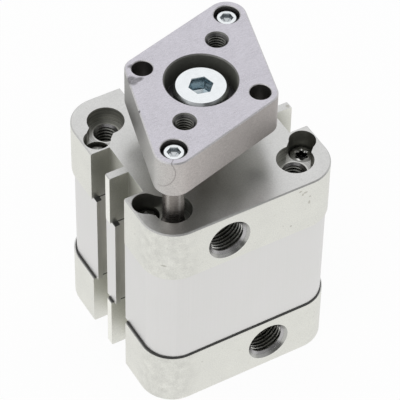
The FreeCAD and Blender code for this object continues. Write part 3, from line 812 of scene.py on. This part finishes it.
def cap_screw(skin, put, length):
    """Screw with a six-lobed socket and a rounded head, hanging from the top of its head."""
    rings = [
        (0.0, -LOBE_DEPTH - 0.3),
        (six_lobes(LOBE_POINTS, LOBE_CORE), -LOBE_DEPTH),
        (six_lobes(LOBE_POINTS, LOBE_CORE), -LOBE_MOUTH),
        (six_lobes(LOBE_POINTS, LOBE_CORE, LOBE_MOUTH), 0.0),
        (CAP_HEAD - 0.7, 0.0),
        (CAP_HEAD - 0.25, -0.12),
        (CAP_HEAD, -0.45),
        (CAP_HEAD, -CAP_HEAD_HEIGHT + 0.1),
        (CAP_HEAD - 0.1, -CAP_HEAD_HEIGHT),
        (CAP_SHANK + 0.1, -CAP_HEAD_HEIGHT),
        (CAP_SHANK, -CAP_HEAD_HEIGHT - 0.1),
        (CAP_SHANK, -length + 0.4),
        (CAP_SHANK - 0.4, -length),
        (0.0, -length),
    ]
    turned(skin, put, LOBE_SEGMENTS, rings)


def add_screws(zinc, dark):
    """Screws with finished heads, in the places of the plain ones."""
    low, high = (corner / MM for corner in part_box("plate_screw"))
    skin = Skin()
    hex_screw(skin, upright(0, 0, high.z), high.z - low.z, **PLATE_SCREW)
    show("plate_screw_finished", skin, zinc, "slide", ["plate_screw"])

    low, high = (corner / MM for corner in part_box("guide_rod_screws"))
    skin = Skin()
    place = high.x - GUIDE_ROD_SCREW["head"]
    for way in (-1, 1):
        put = upright(way * place, way * place, high.z)
        hex_screw(skin, put, high.z - low.z, **GUIDE_ROD_SCREW)
    show("guide_rod_screws_finished", skin, zinc, "slide", ["guide_rod_screws"])

    for name, way in (("front_cap_screws", 1), ("rear_cap_screws", -1)):
        low, high = (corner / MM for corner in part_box(name))
        top = high.z if way > 0 else low.z
        skin = Skin()
        for x in (low.x + CAP_HEAD, high.x - CAP_HEAD):
            for y in (low.y + CAP_HEAD, high.y - CAP_HEAD):
                cap_screw(skin, upright(x, y, top, way), high.z - low.z)
        show(f"{name}_finished", skin, dark, "housing", [name])


def add_camera():
    """Camera at the photograph's place, looking at a point near the object's middle."""
    level_part = math.cos(CAMERA_ELEVATION)
    away = Vector(
        (
            math.sin(CAMERA_AZIMUTH) * level_part,
            -math.cos(CAMERA_AZIMUTH) * level_part,
            math.sin(CAMERA_ELEVATION),
        )
    )
    level = Vector((math.cos(CAMERA_AZIMUTH), math.sin(CAMERA_AZIMUTH), 0))
    right = level * math.cos(CAMERA_ROLL) + away.cross(level) * math.sin(CAMERA_ROLL)
    up = away.cross(right)
    data = bpy.data.cameras.new("camera")
    data.lens = CAMERA_LENS
    data.sensor_width = SENSOR_WIDTH
    data.clip_start = NEAREST_SEEN
    camera = bpy.data.objects.new("camera", data)
    camera.matrix_world = Matrix(
        (
            (right.x, up.x, away.x, 0),
            (right.y, up.y, away.y, 0),
            (right.z, up.z, away.z, 0),
            (0, 0, 0, 1),
        )
    )
    camera.location = CAMERA_TARGET + away * CAMERA_DISTANCE
    bpy.context.scene.collection.objects.link(camera)
    bpy.context.scene.camera = camera


def add_world():
    """White where it is seen, dimmer in mirrors towards the camera's side, and a plain soft light."""
    world = bpy.data.worlds.new("studio")
    world.use_nodes = True
    web = Web(world.node_tree)
    background = web.tree.nodes["Background"]
    background.inputs["Color"].default_value = (1, 1, 1, 1)
    path = web.node("LightPath").outputs
    seen = web.most(path["Is Camera Ray"], path["Is Glossy Ray"], path["Is Transmission Ray"])
    level = web.between(seen, 0.0, 1.0, SOFT_LIGHT, 1.0)
    way = web.node("TexCoord").outputs["Generated"]
    front = web.vector("DOT_PRODUCT", way, FRONT_SIDE)
    front = web.between(front, FRONT_FROM, FRONT_TO, 1.0, 1.0 - FRONT_DIM)
    camera = web.vector("DOT_PRODUCT", way, CAMERA_SIDE)
    camera = web.between(camera, CAMERA_FROM, CAMERA_TO, 1.0, 1.0 - CAMERA_DIM)
    mirrored = web.between(path["Is Glossy Ray"], 0.0, 1.0, 1.0, web.product(front, camera))
    web.tree.links.new(web.product(level, mirrored), background.inputs["Strength"])
    bpy.context.scene.world = world


def add_floor():
    """White floor that keeps a faint shadow."""
    mesh = bpy.data.meshes.new("floor")
    signs = ((-1, -1), (1, -1), (1, 1), (-1, 1))
    mesh.from_pydata([(x * FLOOR_HALF, y * FLOOR_HALF, 0) for x, y in signs], [], [(0, 1, 2, 3)])
    material = bpy.data.materials.new("floor_white")
    material.use_nodes = True
    web = Web(material.node_tree)
    paper = web.tree.nodes["Principled BSDF"]
    paper.inputs["Base Color"].default_value = FLOOR_WHITE
    paper.inputs["Roughness"].default_value = FLOOR_ROUGHNESS
    path = web.node("LightPath").outputs
    camera = web.product(path["Is Camera Ray"], FLOOR_SEEN)
    share = web.most(camera, path["Is Glossy Ray"], path["Is Transmission Ray"])
    glow = web.node("Emission").outputs[0]
    both = web.node("MixShader", {0: share, 1: paper.outputs[0], 2: glow}).outputs[0]
    web.tree.links.new(both, web.tree.nodes["Material Output"].inputs["Surface"])
    mesh.materials.append(material)
    floor = bpy.data.objects.new("floor", mesh)
    floor.location.z = -FLOOR_GAP * MM
    bpy.context.scene.collection.objects.link(floor)


def add_lamp():
    """Square soft lamp that looks at the object."""
    data = bpy.data.lights.new("key", "AREA")
    data.size = LAMP_SIZE
    data.energy = LAMP_POWER
    lamp = bpy.data.objects.new("key", data)
    lamp.location = LAMP_PLACE
    lamp.rotation_euler = (-Vector(LAMP_PLACE)).to_track_quat("-Z", "Y").to_euler()
    bpy.context.scene.collection.objects.link(lamp)


add_camera()
add_world()
add_floor()
add_lamp()

# The last two arguments set the painted shade in the hollows: even in the front cap, darker towards the
# barrel in the rear cap.
front_cap = cap_finish("front_cap_finish", mount_place("upper_port"), (44.0, 59.0), (0.28, 0.28))
give(front_cap, "front_cap")
rear_cap = cap_finish("rear_cap_finish", mount_place("lower_port"), (6.0, 15.0), (0.82, 0.4))
give(rear_cap, "rear_cap")
give(barrel_finish(), "barrel")
give(plate_finish(), "yoke_plate")
give(ground_finish("chrome_finish", (0.43, 0.41, 0.39), 0.19, 0.8), "piston_rod")

# Painted reflection streaks on both guide rods.
rod_streaks = []
for way in (-1, 1):
    for x, y in REFLECTION_STREAKS:
        rod_streaks.append((way * (CORNER_HOLE - x), way * (CORNER_HOLE - y)))
guide_rod = ground_finish("guide_rod_finish", (0.29, 0.265, 0.245), 0.28, 0.9, rod_streaks)
give(guide_rod, "guide_rod_near", "guide_rod_far")

rubber = moulded_finish("gasket_finish", (0.035, 0.035, 0.033), 0.55)
give(rubber, "front_gasket", "rear_gasket", "piston_o_ring")
polyurethane = moulded_finish("polyurethane_finish", (0.10, 0.075, 0.05), 0.42)
give(polyurethane, "rod_seal", "piston_seal_rear", "piston_seal_front", "rear_bumper", "front_bumper")
give(moulded_finish("ring_finish", (0.32, 0.31, 0.28), 0.5), "guide_ring")
give(moulded_finish("magnet_finish", (0.05, 0.048, 0.045), 0.6), "magnet_ring")
bronze = turned_finish("bronze_finish", (0.58, 0.40, 0.20), 0.35)
give(bronze, "rod_bush", "guide_bush_near", "guide_bush_far")
piston = turned_finish("piston_finish", (0.62, 0.62, 0.60), 0.32)
give(piston, "piston_rear_half", "piston_front_half")
zinc = zinc_finish()
give(zinc, "piston_screw")

add_threads(
    thread_finish("port_thread_finish", "Y", lead=0.45, crests=0.95, low=0.1, high=0.6),
    thread_finish("hole_thread_finish", "Z", lead=0.20, crests=0.38, low=0.0, high=1.1),
    thread_finish("plate_thread_finish", "Z", lead=0.10, crests=0.30, low=0.1, high=0.9),
)
add_screws(zinc, dark_steel_finish())

bpy.context.scene.view_settings.view_transform = "Standard"
